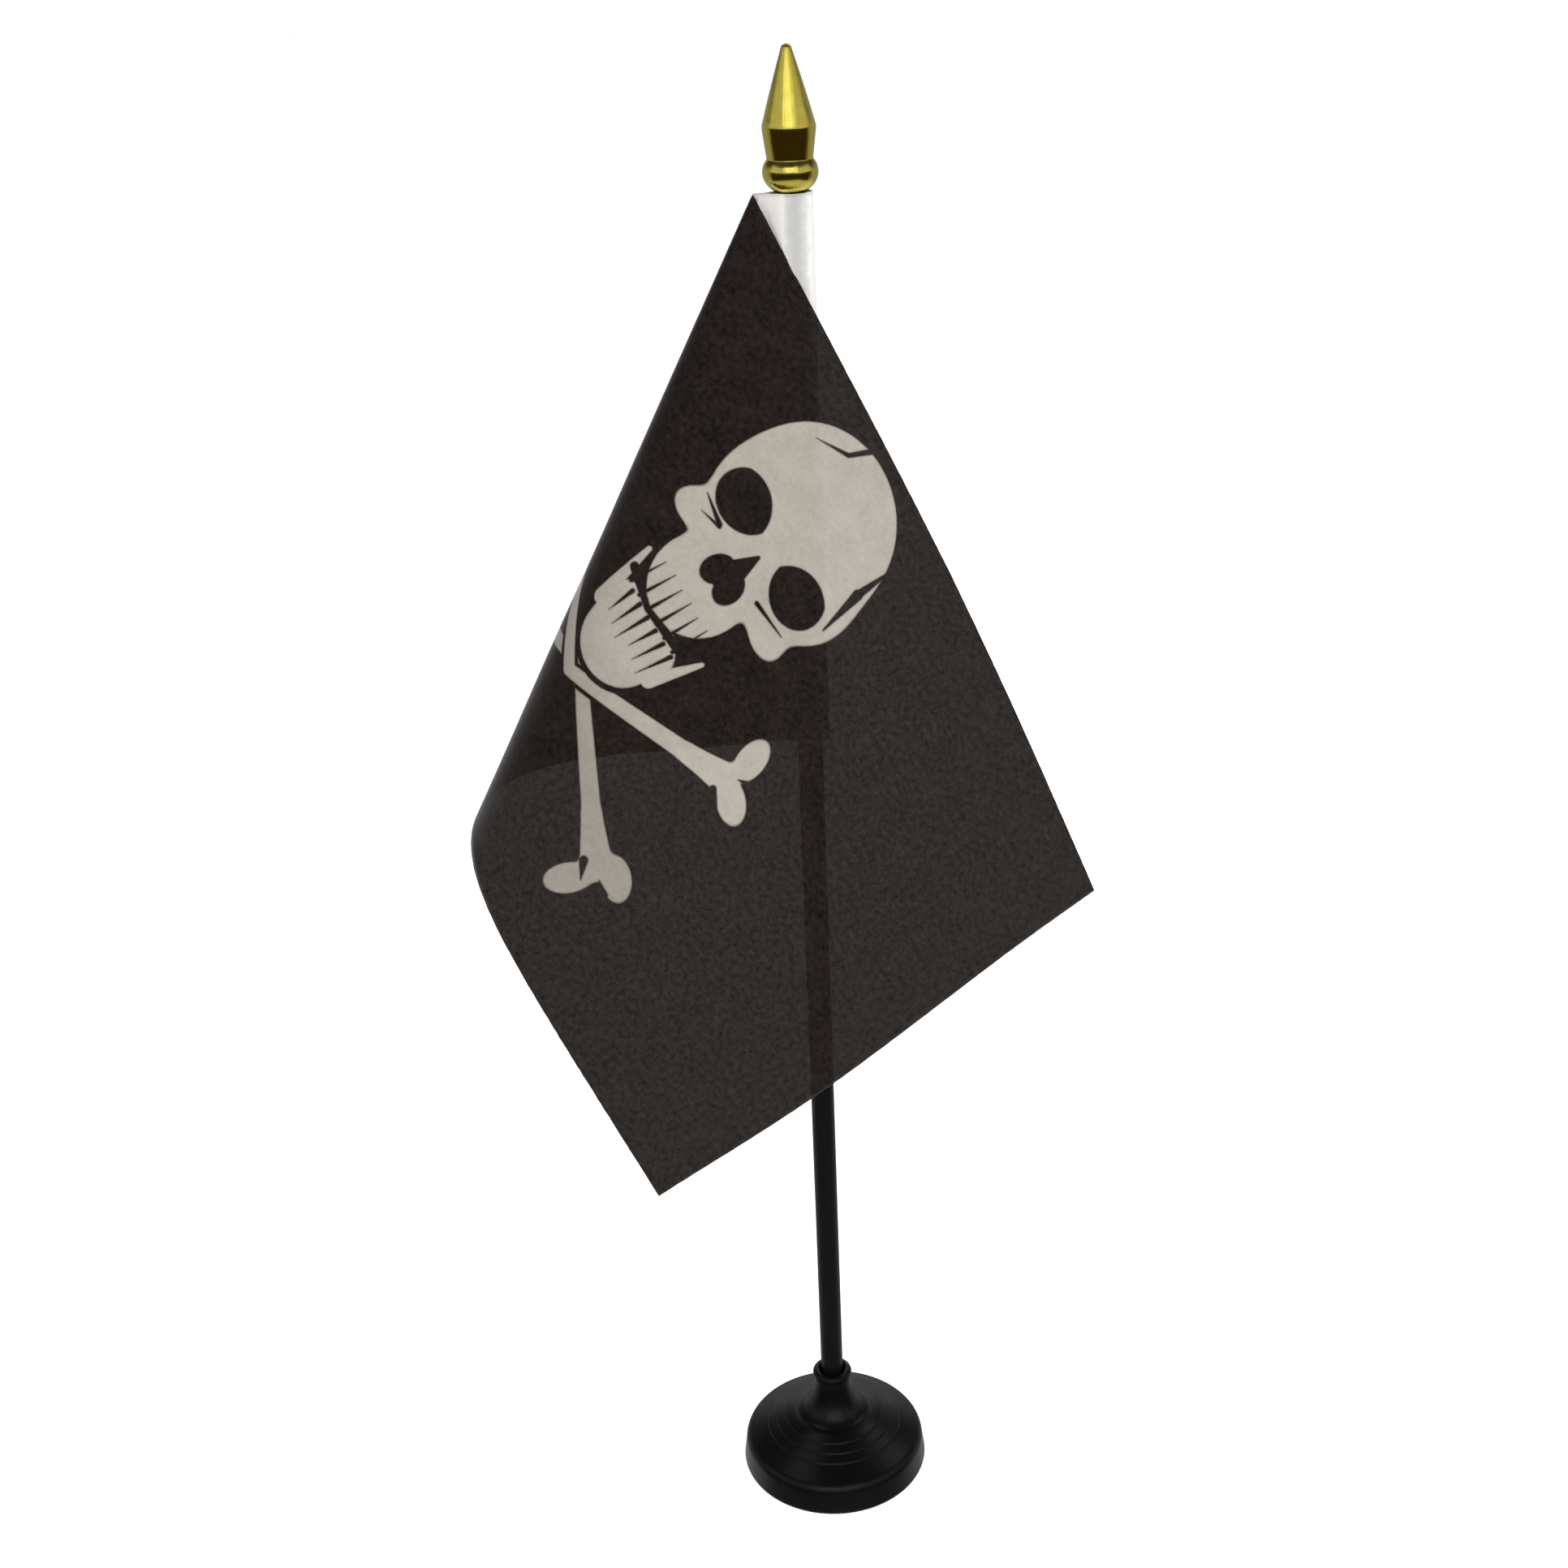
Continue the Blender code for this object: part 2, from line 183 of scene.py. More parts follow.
def light_the_room():
    """Plain white to the camera, and to all else a dim room with a barred window and two lamps.

    Side, depth and height say which way is looked: how far right, back and up, from -1 to 1. Each
    ceiling lamp is such a direction too.
    """
    world = bpy.data.worlds.new("studio")
    bpy.context.scene.world = world
    world.use_nodes = True
    room = Shading(world.node_tree)
    toward = room.add("ShaderNodeTexCoord", output="Generated")
    side, depth, height = (room.add("ShaderNodeSeparateXYZ", {}, {"Vector": toward}, axis) for axis in "XYZ")
    front = room.add("ShaderNodeValToRGB", {"stops": [
        (0.00, (0.62, 0.62, 0.62)), (0.14, (0.50, 0.50, 0.50)), (0.22, (0.030, 0.020, 0.010)),
        (0.51, (0.030, 0.020, 0.010)), (0.55, (0.56, 0.56, 0.56)), (0.74, (0.50, 0.50, 0.50)),
        (0.82, (0.05, 0.05, 0.05))]}, {"Fac": height * 0.5 + 0.5})
    bars = room.add("ShaderNodeTexNoise", {"noise_dimensions": '1D'}, {"W": side * 7.0, "Detail": 3.0})
    level = ((height - 0.10) * 9.0).clamped() * ((0.70 - height) * 8.0).clamped()
    window = ((side + 0.50) * 6.0).clamped() * ((0.55 - side) * 6.0).clamped() * level
    window = window * ((bars - 0.38) * 9.0).clamped()
    behind = 0.04 + ((0.40 - height) * 3.0).clamped() * 0.28 + ((-0.45 - height) * 5.0).clamped() * 0.34
    seen = room.blend(((depth + 0.02) * 6.0).clamped(), front, behind)
    seen = room.blend(window, seen, WINDOW_LIGHT)
    for lamp in CEILING_LAMPS:
        near = room.add("ShaderNodeVectorMath", {"operation": 'DOT_PRODUCT'}, {0: toward, 1: lamp}, "Value")
        seen = room.blend(((near - 0.984) * 120.0).clamped(), seen, LAMP_LIGHT)
    to_camera = room.add("ShaderNodeLightPath", output="Is Camera Ray")
    background = world.node_tree.nodes["Background"]
    room.feed(background.inputs["Color"], room.blend(to_camera, seen, (1.0, 1.0, 1.0, 1.0)))
    bpy.context.scene.view_settings.view_transform = 'Standard'


light_the_room()

table_paint = bpy.data.materials.new("table_paint")
table_paint.use_nodes = True
table_shader = table_paint.node_tree.nodes["Principled BSDF"]
table_shader.inputs["Base Color"].default_value = (0.9, 0.9, 0.9, 1.0)
table_shader.inputs["Roughness"].default_value = 0.9
table_shader.inputs["Emission Color"].default_value = (1.0, 1.0, 1.0, 1.0)
table_shader.inputs["Emission Strength"].default_value = 0.75
TABLE_SIZE = 12.0
table = flat_card("table", TABLE_SIZE, TABLE_SIZE)
table.data.materials.append(table_paint)
table.visible_glossy = False

soft_box("front_box", (0.25, -1.15, 1.05), 0.8, 0.5, 10.0)
soft_box("left_box", (-1.1, -0.7, 0.7), 0.25, 0.9, 3.5)
soft_box("right_box", (1.2, -0.3, 0.7), 0.25, 0.9, 3.0)
soft_box("back_box", (0.2, 1.2, 1.0), 1.2, 0.5, 8.0)


# ---------------------------------------------------------------------------------------
# Base shell: one injection moulding in black satin plastic, turned in form, with a short
# rim, three shallow steps, a trumpet neck and a rolled lip. The pole pushes into it.

GAP = 0.0003
BASE_RADIUS = 0.0298
BASE_HEIGHT = 0.0350
BASE_WALL = 0.0018
POLE_RADIUS = 0.0035
SOCKET_RADIUS = POLE_RADIUS + GAP
TURNED_STEPS = 128
SMOOTH_ENOUGH = math.radians(16.0)
SHARP_EDGE = math.radians(40.0)
DEEP_BLACK = (0.0018, 0.0018, 0.0017, 1.0)
SOFT_BLACK = (0.0042, 0.0041, 0.0038, 1.0)


class Finish(Shading):
    """A procedural material on a Principled shader, whose constants are set on its sockets."""

    def __init__(self, name, constants):
        self.material = bpy.data.materials.new(name)
        self.material.use_nodes = True
        super().__init__(self.material.node_tree)
        self.shader = self.tree.nodes["Principled BSDF"]
        for socket, value in constants.items():
            self.shader.inputs[socket].default_value = value
        self.place = self.add("ShaderNodeTexCoord", output="Object")

    def set(self, socket, value):
        self.feed(self.shader.inputs[socket], value)

    def noise(self, scale, detail=2.0, roughness=0.5, where=None):
        return self.add("ShaderNodeTexNoise", {}, {
            "Vector": where or self.place, "Scale": scale, "Detail": detail, "Roughness": roughness})

    def stretched(self, scale):
        """Object coordinates squeezed by a factor along each axis."""
        return self.add("ShaderNodeMapping", {}, {"Vector": self.place, "Scale": scale})

    def bump(self, height, distance, strength=1.0):
        return self.add("ShaderNodeBump", {}, {
            "Height": height, "Distance": distance, "Strength": strength}, "Normal")


def arc(centre, radius, start, end, steps):
    """Points of a circular arc in the (radius, height) plane, with angles in degrees."""
    points = []
    for i in range(steps + 1):
        angle = math.radians(start + (end - start) * i / steps)
        points.append((centre[0] + radius * math.cos(angle), centre[1] + radius * math.sin(angle)))
    return points


def eased(profile, radius, steps=3):
    """The profile with each of its sharp corners rounded off to about a radius."""
    rounded = [profile[0]]
    for before, corner, after in zip(profile, profile[1:], profile[2:]):
        before, corner, after = Vector(before), Vector(corner), Vector(after)
        arms = (before - corner, after - corner)
        reach = min(radius, 0.45 * arms[0].length, 0.45 * arms[1].length)
        turn = math.pi - arms[0].angle(arms[1], math.pi)
        if turn < SMOOTH_ENOUGH:
            rounded.append(tuple(corner))
            continue
        start = corner + arms[0].normalized() * reach
        end = corner + arms[1].normalized() * reach
        for i in range(steps + 1):
            t = i / steps
            point = start.lerp(corner, t).lerp(corner.lerp(end, t), t)
            rounded.append(tuple(point))
    rounded.append(profile[-1])
    return rounded


def turned(name, profile, material, steps=TURNED_STEPS):
    """A closed body turned about Z from a profile that starts and ends on that axis."""
    mesh = bpy.data.meshes.new(name)
    shape = bmesh.new()
    rings = []
    for radius, height in profile:
        if radius < 1e-7:
            rings.append([shape.verts.new((0.0, 0.0, height))])
            continue
        ring = []
        for i in range(steps):
            angle = 2.0 * math.pi * i / steps
            ring.append(shape.verts.new((radius * math.cos(angle), radius * math.sin(angle), height)))
        rings.append(ring)
    for upper, lower in zip(rings, rings[1:]):
        for i in range(steps):
            j = (i + 1) % steps
            corners = [upper[i % len(upper)], lower[i % len(lower)], lower[j % len(lower)],
                       upper[j % len(upper)]]
            unique = [corner for k, corner in enumerate(corners) if corner not in corners[:k]]
            shape.faces.new(unique)
    bmesh.ops.recalc_face_normals(shape, faces=shape.faces)
    shape.to_mesh(mesh)
    shape.free()
    mesh.materials.append(material)
    mesh.shade_smooth()
    mesh.set_sharp_from_angle(angle=SHARP_EDGE)
    return link(name, mesh)


def neck_curve(foot, neck_radius, top, steps):
    """The trumpet between the neck and the steps: a quarter ellipse, concave outwards."""
    points = []
    for i in range(steps):
        angle = math.radians(90.0 * i / steps)
        points.append((foot[0] - (foot[0] - neck_radius) * math.cos(angle),
                       top - (top - foot[1]) * math.sin(angle)))
    return points


def step_rings(foot, shoulder, count, pitch, drop):
    """Shallow steps down the straight slope between the neck's foot and the shoulder."""
    slope = (foot[1] - shoulder[1]) / (shoulder[0] - foot[0])
    lean = 0.3 * drop
    points = [foot]
    for i in range(1, count + 1):
        middle = foot[1] - slope * pitch * i
        points.append((foot[0] + pitch * i, middle + 0.5 * drop))
        points.append((foot[0] + pitch * i + lean, middle - 0.5 * drop))
    return points


def rolled_edge(start, corner, end, steps):
    """The soft roll from the top's slope down into the rim."""
    start, corner, end = Vector(start), Vector(corner), Vector(end)
    return [tuple(start.lerp(corner, i / steps).lerp(corner.lerp(end, i / steps), i / steps))
            for i in range(steps + 1)]


def base_profile():
    """Round the wall from the socket's floor up over the lip, down the outside and back inside."""
    lip_radius, lip_reach, lip_depth = 0.00135, 0.00625, 0.0014
    neck_radius, foot = 0.0058, (0.0128, 0.0186)
    ring_count, ring_pitch, ring_drop = 3, 0.0029, 0.0005
    shoulder = (0.0266, 0.0112)
    rim_top, rim_foot = (BASE_RADIUS - 0.0008, 0.0074), 0.0005
    roll_corner = (rim_top[0] - 0.0001, shoulder[1] - 0.0010)
    rim_edge, rim_edge_rise = 0.0004, 0.0009
    inner_rim, inner_rim_top, ceiling = BASE_RADIUS - BASE_WALL - 0.0009, 0.0071, 0.0094
    socket_floor, floor_wall = 0.0060, 0.0015
    tube = SOCKET_RADIUS + BASE_WALL
    mould_radius = 0.00035
    outside = arc((lip_reach - lip_radius, BASE_HEIGHT - lip_radius), lip_radius, 110.0, -45.0, 18)
    outside += neck_curve(foot, neck_radius, BASE_HEIGHT - 2.0 * lip_radius, 20)
    outside += step_rings(foot, shoulder, ring_count, ring_pitch, ring_drop)
    outside += rolled_edge(shoulder, roll_corner, rim_top, 10)
    outside += [(BASE_RADIUS, rim_foot + rim_edge_rise), (BASE_RADIUS - rim_edge, rim_foot)]
    inside = [(inner_rim, rim_foot), (inner_rim, inner_rim_top), (shoulder[0] - BASE_WALL, ceiling)]
    inside += [(foot[0], foot[1] - BASE_WALL), (tube, foot[1] - BASE_WALL)]
    inside += [(tube, socket_floor - floor_wall), (0.0, socket_floor - floor_wall)]
    socket = [(0.0, socket_floor), (SOCKET_RADIUS, socket_floor)]
    socket.append((SOCKET_RADIUS, BASE_HEIGHT - lip_depth))
    return socket + eased(outside + inside, mould_radius)


def black_plastic():
    """Satin black styrene: faint flow marks, fine handling scratches and specks of dust."""
    finish = Finish("black_plastic", {"IOR": 1.5, "Specular IOR Level": 0.27})
    flow = finish.noise(60.0, 3.0)
    peel = finish.noise(900.0, 2.0)
    scratches = finish.noise(700.0, 1.0, where=finish.stretched((1.0, 0.12, 0.08)))
    dust = (finish.noise(2600.0, 1.0) - 0.66).highest(0.0) * 3.0
    finish.set("Base Color", finish.blend((flow * 0.6 + dust).clamped(), DEEP_BLACK, SOFT_BLACK))
    finish.set("Roughness", 0.25 + flow * 0.10 + scratches * 0.08)
    finish.set("Normal", finish.bump(peel * 0.6 + scratches * 0.5 + flow * 2.0, 0.00003))
    return finish.material


BLACK_PLASTIC = black_plastic()
base_shell = turned("base_moulding", base_profile(), BLACK_PLASTIC)
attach(base_shell, "base")
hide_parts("base_shell")


# ---------------------------------------------------------------------------------------
# Pole: a round rod of the same black plastic, drawn through a die, which leaves faint
# lines along it. Its ends are chamfered, and it is only pushed into its two sockets.

POLE_STEPS = 64
POLE_BANDS = 40
POLE_CHAMFER = 0.0005


def pole_profile():
    low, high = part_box("pole")
    shoulder = POLE_RADIUS - POLE_CHAMFER
    band = (high.z - low.z - 2.0 * POLE_CHAMFER) / POLE_BANDS
    side = [(POLE_RADIUS, high.z - POLE_CHAMFER - band * i) for i in range(POLE_BANDS + 1)]
    return [(0.0, high.z), (shoulder, high.z), *side, (shoulder, low.z), (0.0, low.z)]


def drawn_plastic():
    """The same plastic off the drawing die: long fine lines and a little unevenness."""
    finish = Finish("drawn_plastic", {"IOR": 1.5, "Specular IOR Level": 0.18})
    lines = finish.noise(1500.0, 2.0, where=finish.stretched((1.0, 1.0, 0.012)))
    patches = finish.noise(90.0, 3.0)
    finish.set("Base Color", finish.blend(patches, DEEP_BLACK, SOFT_BLACK))
    finish.set("Roughness", 0.28 + lines * 0.12 + patches * 0.08)
    finish.set("Normal", finish.bump(lines + patches * 0.6, 0.00003))
    return finish.material


pole = turned("pole_rod", pole_profile(), drawn_plastic(), POLE_STEPS)
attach(pole, "pole")
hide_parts("pole")


# ---------------------------------------------------------------------------------------
# Weight: a steel ring, punched and turned, that lies round the socket tube inside the
# base. It is hidden by the pad, and is why the light shell doesn't tip over.

BARE_STEEL = (0.42, 0.41, 0.40, 1.0)
RUST = (0.20, 0.10, 0.05, 1.0)


def turned_steel():
    """Bare steel with lathe grooves, and rust where it has started."""
    finish = Finish("turned_steel", {"Metallic": 1.0})
    grooves = finish.add("ShaderNodeTexWave", {"wave_type": 'RINGS', "rings_direction": 'Z'}, {
        "Vector": finish.place, "Scale": 900.0, "Distortion": 0.4})
    rust = (finish.noise(240.0, 4.0) - 0.55).highest(0.0) * 2.5
    finish.set("Base Color", finish.blend(rust.clamped(), BARE_STEEL, RUST))
    finish.set("Roughness", 0.35 + rust * 0.5)
    finish.set("Normal", finish.bump(grooves, 0.00002))
    return finish.material


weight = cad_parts["base_weight"]
weight.data.materials.clear()
weight.data.materials.append(turned_steel())


# ---------------------------------------------------------------------------------------
# Pad: a disc of black cell foam, die cut, pressed into the open underside of the base so
# that it stands half a millimetre proud of the rim.

def pad_profile():
    low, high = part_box("base_pad")
    radius = high.x
    middle = 0.5 * radius
    soft_edge = 0.0004
    top = [(0.0, high.z), (middle, high.z), (radius, high.z)]
    return eased([*top, (radius, low.z), (middle, low.z), (0.0, low.z)], soft_edge, steps=4)


def cell_foam():
    """Black foam with fine open cells on its cut faces."""
    finish = Finish("cell_foam", {"Specular IOR Level": 0.2})
    cells = finish.add("ShaderNodeTexVoronoi", {"feature": 'F1'}, {"Vector": finish.place, "Scale": 1900.0})
    patches = finish.noise(160.0, 3.0)
    finish.set("Base Color", finish.blend((cells * patches * 2.0).clamped(), (0.006, 0.006, 0.006, 1.0),
                                          (0.022, 0.021, 0.020, 1.0)))
    finish.set("Roughness", 0.85 + patches * 0.1)
    finish.set("Normal", finish.bump(cells, 0.00012))
    return finish.material


pad = turned("foam_pad", pad_profile(), cell_foam())
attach(pad, "base")
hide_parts("base_pad")


# ---------------------------------------------------------------------------------------
# Finial: a spear point over a tapered waist and a round bead, moulded in plastic and
# plated bright gold. It is a push fit on the top of the pole.

def finial_profile():
    """From the tip down the cone, over the belt and the bead, and up the bore."""
    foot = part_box("finial")[0].z
    height, belt, belt_height, belt_edge = 0.0353, 0.00685, 0.0155, 0.0004
    tip, bead, waist, land = 0.0014, 0.00715, 0.0059, SOCKET_RADIUS + 0.0004
    bead_rise = 0.0057
    cone_bands, cone_bulge, bead_bands = 12, 0.00012, 24
    socket_depth = 0.0130
    plating_radius = 0.0003
    half_angle = math.degrees(math.atan2(belt, height - belt_height))
    above = bead_rise * math.sqrt(1.0 - (waist / bead) ** 2)
    below = bead_rise * math.sqrt(1.0 - (land / bead) ** 2)
    outline = arc((0.0, height - tip), tip, 90.0, half_angle, 8)
    outline[0] = (0.0, height)
    cone_start = outline[-1]
    for i in range(1, cone_bands):
        share = i / cone_bands
        bulge = cone_bulge * math.sin(math.pi * share)
        outline.append((cone_start[0] + (belt - cone_start[0]) * share + bulge,
                        cone_start[1] + (belt_height + belt_edge - cone_start[1]) * share))
    outline += [(belt, belt_height + belt_edge), (belt, belt_height - belt_edge)]
    for i in range(bead_bands + 1):
        offset = above - (above + below) * i / bead_bands
        outline.append((bead * math.sqrt(1.0 - (offset / bead_rise) ** 2), below + offset))
    outline += [(SOCKET_RADIUS, 0.0), (SOCKET_RADIUS, socket_depth), (0.0, socket_depth)]
    return [(radius, foot + z) for radius, z in eased(outline, plating_radius)]


BRIGHT_GOLD = (0.84, 0.72, 0.13, 1.0)
DULL_GOLD = (0.70, 0.56, 0.07, 1.0)


def gold_plating():
    """Vacuum-plated gold: bright, a little wavy, with fine polishing lines up and down it."""
    finish = Finish("gold_plating", {"Metallic": 1.0, "Coat Weight": 0.3, "Coat Roughness": 0.05})
    bearing = finish.add("ShaderNodeTexGradient", {"gradient_type": 'RADIAL'}, {"Vector": finish.place})
    height = finish.add("ShaderNodeSeparateXYZ", {}, {"Vector": finish.place}, "Z")
    lines_at = finish.add("ShaderNodeCombineXYZ", {}, {"X": bearing * 75.0, "Y": height * 25.0})
    lines = finish.noise(1.0, 3.0, 0.6, where=lines_at)
    waves = finish.noise(260.0, 1.0)
    tarnish = finish.noise(420.0, 3.0)
    finish.set("Base Color", finish.blend((tarnish * 1.4 - 0.3).clamped(), BRIGHT_GOLD, DULL_GOLD))
    finish.set("Roughness", 0.07 + tarnish * 0.08 + lines * 0.06)
    finish.set("Normal", finish.bump(lines * 0.9 + waves * 1.6, 0.00012, 0.7))
    return finish.material


finial = turned("spear_finial", finial_profile(), gold_plating())
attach(finial, "finial")
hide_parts("finial")


# ---------------------------------------------------------------------------------------
# Sleeve: a strip of white cloth, folded round the pole and sewn shut with the printed
# panel's hem between its two lips. It hangs loose enough to turn on the pole.

CLOTH_THICKNESS = 0.0004
LIP_WIDTH = 0.0032
SLEEVE_SLACK = 0.0012
SLEEVE_ROWS = 110
SLEEVE_UV_SIZE = 0.1
SLEEVE_THREAD_PITCH = 0.0006
SEAM_RADIUS = 0.0098
SEAM_BEARING = math.radians(188.6)
LIP_OFFSET = CLOTH_THICKNESS + GAP
SLEEVE_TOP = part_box("hoist_sleeve")[1].z
SLEEVE_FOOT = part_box("hoist_sleeve")[0].z


def sleeve_plan():
    """The sleeve's middle line in plan, from its front lip round the pole to its back lip."""
    half_width = SOCKET_RADIUS + 0.5 * CLOTH_THICKNESS
    side_steps, bend_steps, loop_steps = 6, 8, 24
    neck = SEAM_RADIUS - LIP_WIDTH
    touch = math.pi - math.atan2(LIP_OFFSET, neck) - math.acos(half_width / math.hypot(neck, LIP_OFFSET))
    back = [(-SEAM_RADIUS, LIP_OFFSET), (-0.5 * (SEAM_RADIUS + neck), LIP_OFFSET), (-neck, LIP_OFFSET)]
    tangent = (half_width * math.cos(touch), half_width * math.sin(touch))
    for i in range(1, side_steps):
        share = i / side_steps
        back.append((-neck + (tangent[0] + neck) * share, LIP_OFFSET + (tangent[1] - LIP_OFFSET) * share))
    for i in range(bend_steps):
        angle = touch + (0.5 * math.pi - touch) * i / bend_steps
        back.append((half_width * math.cos(angle), half_width * math.sin(angle)))
    front = [(x, -y) for x, y in back]
    loop = []
    for i in range(loop_steps + 1):
        angle = math.pi * (i / loop_steps - 0.5)
        loop.append(((half_width + SLEEVE_SLACK) * math.cos(angle), half_width * math.sin(angle)))
    return front + loop + back[::-1]


def cloth_wall(name, plan, rows):
    """A cloth wall: a plan line raised to the sleeve's height, with small folds outwards.

    The cloth is smooth at the seam and looser where it goes round the pole.
    """
    fold_reach, fray = 0.00022, 0.00012
    loose_from, loose_over = -0.0062, 0.004
    mesh = bpy.data.meshes.new(name)
    shape = bmesh.new()
    uv = shape.loops.layers.uv.new("cloth")
    length = [0.0]
    for here, there in zip(plan, plan[1:]):
        length.append(length[-1] + math.dist(here, there))
    grid = []
    for row in range(rows + 1):
        share = row / rows
        line = []
        for (x, y), along in zip(plan, length):
            height = SLEEVE_FOOT + (SLEEVE_TOP - SLEEVE_FOOT) * share
            looseness = min(1.0, max(0.0, (x - loose_from) / loose_over))
            fold = noise.noise(Vector((along * 260.0, height * 60.0, 1.7)))
            ridge = noise.noise(Vector((along * 90.0, height * 22.0, 8.1)))
            out = looseness * fold_reach * (0.75 + fold + 0.9 * ridge)
            radius = math.hypot(x, y)
            ragged = fray * noise.noise(Vector((along * 2200.0, 3.0, 0.0))) if row in (0, rows) else 0.0
            line.append(shape.verts.new((x + out * x / radius, y + out * y / radius,
                                         height - abs(ragged) * (1 if row else -1))))
        grid.append(line)
    for row in range(rows):
        for i in range(len(plan) - 1):
            face = shape.faces.new((grid[row][i], grid[row][i + 1], grid[row + 1][i + 1], grid[row + 1][i]))
            spots = ((i, row), (i + 1, row), (i + 1, row + 1), (i, row + 1))
            for corner, (column, level) in zip(face.loops, spots):
                up = (SLEEVE_TOP - SLEEVE_FOOT) * level / rows
                corner[uv].uv = (length[column] / SLEEVE_UV_SIZE, up / SLEEVE_UV_SIZE)
    shape.transform(Matrix.Rotation(SEAM_BEARING - math.pi, 4, 'Z'))
    shape.to_mesh(mesh)
    shape.free()
    mesh.shade_smooth()
    return link(name, mesh)


def give_thickness(piece):
    """Thicken a sheet of cloth evenly to both sides."""
    solidify = piece.modifiers.new("cloth", 'SOLIDIFY')
    solidify.thickness = CLOTH_THICKNESS
    solidify.offset = 0.0


def weave(finish, scale):
    """Height of a plain weave, from 0 to 1, and the cloth's own coordinates that it lies on."""
    cloth = finish.add("ShaderNodeUVMap", {"uv_map": "cloth"}, output="UV")
    grid = finish.add("ShaderNodeMapping", {}, {"Vector": cloth, "Scale": (scale, scale, 1.0)})
    across, along = (finish.add("ShaderNodeSeparateXYZ", {}, {"Vector": grid}, axis) for axis in "XY")
    return across.math('SINE') * along.math('SINE') * 0.5 + 0.5, cloth


WHITE = (0.76, 0.75, 0.715, 1.0)
OFF_WHITE = (0.66, 0.65, 0.615, 1.0)
# The grey of the shade painted on the sleeve.
SHADE_GREY = (0.31, 0.31, 0.315, 1.0)


def white_cloth():
    """White polyester, with painted shade in a band over the pole and where it lies flat by the seam."""
    finish = Finish("white_cloth", {"Roughness": 0.85, "Sheen Weight": 0.15, "Sheen Roughness": 0.4,
                                    "Specular IOR Level": 0.25})
    threads, cloth = weave(finish, 2.0 * math.pi * SLEEVE_UV_SIZE / SLEEVE_THREAD_PITCH)
    patches = finish.noise(40.0, 3.0, where=cloth)
    sideways = finish.add("ShaderNodeSeparateXYZ", {}, {"Vector": finish.place}, "X")
    # Painted shade: a grey band where the cloth wraps over the pole, and grey towards the seam where the
    # cloth lies flat.
    off_rod = (sideways - 0.0008 + (patches - 0.5) * 0.002) * (1.0 / POLE_RADIUS)
    shade_by_seam = ((-0.001 - sideways) * 300.0).clamped() * 0.45
    painted_shade = (1.0 - off_rod * off_rod).highest(shade_by_seam)
    plain = finish.blend((threads * 0.35 + patches * 0.5).clamped(), OFF_WHITE, WHITE)
    finish.set("Base Color", finish.blend(painted_shade * 0.8, plain, SHADE_GREY))
    finish.set("Normal", finish.bump(threads + patches * 0.6, 0.00008, 0.5))
    return finish.material


SLEEVE_PLAN = sleeve_plan()
sleeve = cloth_wall("cloth_sleeve", SLEEVE_PLAN, SLEEVE_ROWS)
sleeve.data.materials.append(white_cloth())
give_thickness(sleeve)
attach(sleeve, "flag")
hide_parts("hoist_sleeve")


# ---------------------------------------------------------------------------------------
# Flag: thin black printed polyester, cut with a hot knife and held only at its hoist. It
# falls in one big fold from its top corner, as a cone, so the cloth bends and never
# stretches, and its free part swings back in front of the pole.

# Angles are taken at the top corner, from the hoist edge. A bow is how fast the cloth's heading
# turns with that angle, and the fold's turn brings the front layer back past the pole.
FLAG_LENGTH = 0.2130
FLAG_HEIGHT = 0.1500
HEM_WIDTH = 0.0030
FOLD_AT = math.radians(31.5)
FOLD_SPREAD = math.radians(13.0)
FOLD_TURN = math.radians(193.0)
BACK_BOW = 0.67
FRONT_BOW = -0.34
LAYER_STEP = 0.0016
CORNER_RELIEF = 0.0004
TOP_BOW = 0.0030
FOOT_SAG = 0.0009
FLY_SPARE = 0.0005
FLY_WAVE = 0.0011
FRAYED_EDGE = 0.0001
RIPPLE_DEPTH = 0.00045
FLAG_THREAD_PITCH = 0.0004
CLOTH_CELL = 0.0012
CELL_GROWTH = 1.3
HEM_CELLS = 2
FINE_ANGLES = 960
WIDEST_ANGLE = math.radians(96.0)


def turn_rate(angle):
    """How fast the cloth's heading turns at an angle from the hoist, in radians per radian."""
    bow = BACK_BOW if angle < FOLD_AT else FRONT_BOW
    peak = FOLD_TURN / (FOLD_SPREAD * math.sqrt(math.pi))
    return bow - peak * math.exp(-((angle - FOLD_AT) / FOLD_SPREAD) ** 2)


def fall_lines():
    """Directions of the cloth's straight lines, at even angles from the hoist edge."""
    step = WIDEST_ANGLE / FINE_ANGLES
    direction = Vector((0.0, 0.0, -1.0))
    heading = Vector((math.cos(SEAM_BEARING), math.sin(SEAM_BEARING), 0.0))
    lines = [direction.copy()]
    for i in range(FINE_ANGLES):
        heading.rotate(Matrix.Rotation(turn_rate((i + 0.5) * step) * step, 3, direction))
        swing = Matrix.Rotation(step, 3, direction.cross(heading))
        direction.rotate(swing)
        heading.rotate(swing)
        lines.append(direction.copy())
    return lines


FALL_LINES = fall_lines()
OUTWARDS = Vector((math.cos(SEAM_BEARING), math.sin(SEAM_BEARING), 0.0))
TOP_CORNER = SEAM_RADIUS * OUTWARDS + Vector((0.0, 0.0, SLEEVE_TOP))


